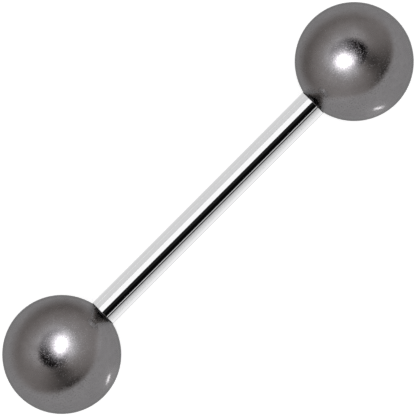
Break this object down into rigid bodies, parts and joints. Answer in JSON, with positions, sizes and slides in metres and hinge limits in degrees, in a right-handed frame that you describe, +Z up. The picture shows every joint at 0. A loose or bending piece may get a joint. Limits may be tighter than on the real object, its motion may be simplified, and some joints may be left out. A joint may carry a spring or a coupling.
{
  "type": "tongue barbell",
  "caption": "Straight polished steel piercing bar with a grey pearl-coated ball screwed onto each threaded tip, lying on its balls.",
  "frame": {"origin": "midway between the balls, on the surface that they rest on", "axes": "+X along the bar towards the right ball, +Y across the bar, +Z up from the resting surface"},
  "size_m": [0.0284, 0.0064, 0.0063],
  "materials": {
    "polished_steel": "mirror-polished surgical steel",
    "pearl_coat": "dark grey pearl lacquer on an acrylic ball, satin sparkle under a clear gloss coat"
  },
  "bodies": {
    "post": {"bar": "polished_steel"},
    "left_ball": {"ball_left": "pearl_coat"},
    "right_ball": {"ball_right": "pearl_coat"}
  },
  "joints": [
    {"name": "left_ball_unscrew", "type": "slide", "parent": "post", "child": "left_ball", "axis": [-1, 0, 0], "range_m": [0, 0.004]},
    {"name": "right_ball_unscrew", "type": "slide", "parent": "post", "child": "right_ball", "axis": [1, 0, 0], "range_m": [0, 0.004]}
  ]
}
